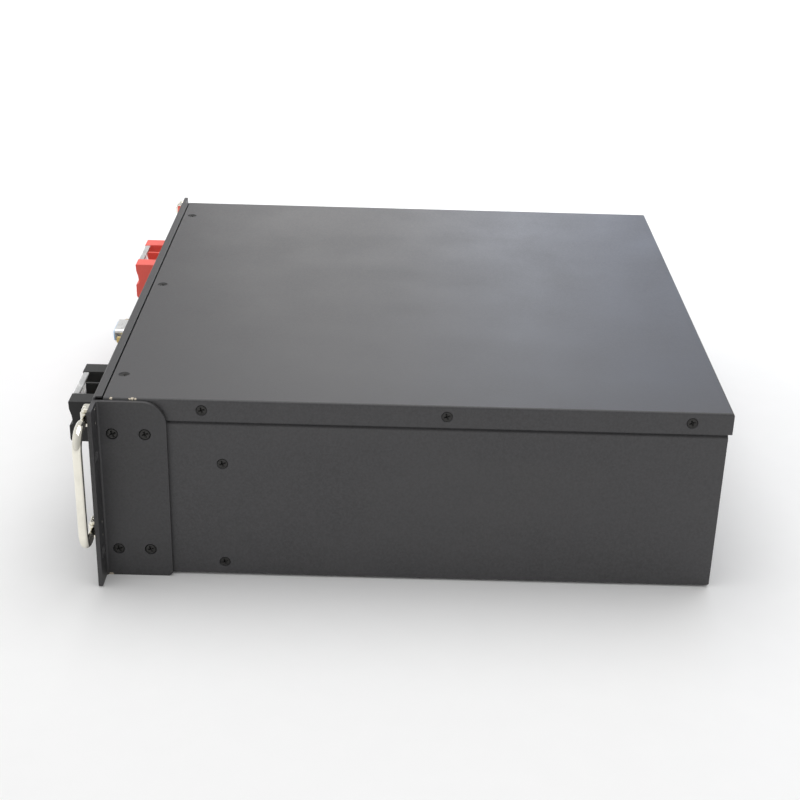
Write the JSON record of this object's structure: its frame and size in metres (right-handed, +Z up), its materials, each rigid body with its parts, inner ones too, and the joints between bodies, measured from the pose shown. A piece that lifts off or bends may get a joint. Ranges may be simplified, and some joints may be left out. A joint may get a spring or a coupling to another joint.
{
  "type": "rack battery pack",
  "caption": "Rack-mount battery pack in a folded steel case with slotted ears, folding bail handles, covered power terminals and a data port on its front.",
  "frame": {"origin": "centre of the whole pack's footprint, level with the lowest edge of the ears, which reach 1 mm below the case", "axes": "+Z up, +X across the front panel towards the negative terminal's ear, front panel faces -Y"},
  "size_m": [0.5262, 0.4536, 0.134],
  "materials": {
    "powder_coat": "satin, fine texture",
    "black_steel": "black zinc",
    "zinc_steel": "bright zinc",
    "chrome": "polished",
    "black_plastic": "moulded",
    "red_plastic": "moulded",
    "blue_plastic": "moulded",
    "clear_plastic": "clear",
    "frosted_plastic": "frosted",
    "brass": "turned",
    "copper": "plain copper",
    "aluminium": "mill",
    "cell_film": "shrink film",
    "circuit_board": "solder mask"
  },
  "bodies": {
    "case": {"chassis_tray": "powder_coat", "top_cover": "powder_coat", "front_panel": "powder_coat", "ear_bracket_right": "powder_coat", "ear_bracket_left": "powder_coat", "ear_screws_right": "black_steel", "ear_screws_left": "black_steel", "cover_screws_right": "black_steel", "cover_screws_left": "black_steel", "cover_screws_front": "black_steel", "partition_screws_right": "black_steel", "partition_screws_left": "black_steel", "partition_plate": "zinc_steel", "handle_foot_lower_right": "chrome", "handle_foot_upper_right": "chrome", "cell_end_plate_right": "aluminium", "handle_foot_lower_left": "chrome", "handle_foot_upper_left": "chrome", "cell_end_plate_left": "aluminium", "terminal_block_negative": "black_plastic", "terminal_block_positive": "red_plastic", "terminal_bolt_negative_left": "brass", "terminal_bolt_negative_right": "brass", "terminal_bolt_positive_left": "brass", "terminal_bolt_positive_right": "brass", "comm_port_shell": "zinc_steel", "comm_port_insert": "blue_plastic", "comm_jackscrew_left": "brass", "comm_jackscrew_right": "brass", "status_light_bar": "frosted_plastic", "power_switch_bezel": "zinc_steel", "front_board": "circuit_board", "cell_01": "cell_film", "cell_02": "cell_film", "cell_03": "cell_film", "cell_04": "cell_film", "cell_05": "cell_film", "cell_06": "cell_film", "cell_07": "cell_film", "cell_08": "cell_film", "cell_09": "cell_film", "cell_10": "cell_film", "cell_11": "cell_film", "cell_12": "cell_film", "cell_13": "cell_film", "cell_14": "cell_film", "cell_15": "cell_film", "cell_16": "cell_film", "cell_link_carrier": "black_plastic", "bms_board": "circuit_board", "bms_heat_sink": "aluminium", "main_busbar_positive": "copper", "battery_busbar_negative": "copper", "output_busbar_negative": "copper"},
    "handle_right": {"handle_bail_right": "chrome"},
    "handle_left": {"handle_bail_left": "chrome"},
    "terminal_cover_negative": {"terminal_cover_negative": "clear_plastic"},
    "terminal_cover_positive": {"terminal_cover_positive": "clear_plastic"},
    "power_button": {"power_button": "zinc_steel"},
    "reset_button": {"reset_button": "black_plastic"}
  },
  "joints": [
    {"name": "handle_fold_right", "type": "hinge", "parent": "case", "child": "handle_right", "pos_m": [0.2286, -0.2041, 0.0816], "axis": [0, 0, -1], "range_deg": [0, 90]},
    {"name": "handle_fold_left", "type": "hinge", "parent": "case", "child": "handle_left", "pos_m": [-0.2286, -0.2041, 0.0816], "axis": [0, 0, 1], "range_deg": [0, 90]},
    {"name": "terminal_cover_hinge_negative", "type": "hinge", "parent": "case", "child": "terminal_cover_negative", "pos_m": [0.1445, -0.2246, 0.1084], "axis": [-1, 0, 0], "range_deg": [0, 100]},
    {"name": "terminal_cover_hinge_positive", "type": "hinge", "parent": "case", "child": "terminal_cover_positive", "pos_m": [-0.1445, -0.2246, 0.1084], "axis": [-1, 0, 0], "range_deg": [0, 100]},
    {"name": "power_button_press", "type": "slide", "parent": "case", "child": "power_button", "axis": [0, 1, 0], "range_m": [0, 0.003], "stiffness_N_per_m": 300},
    {"name": "reset_button_press", "type": "slide", "parent": "case", "child": "reset_button", "axis": [0, 1, 0], "range_m": [0, 0.001], "stiffness_N_per_m": 300}
  ]
}
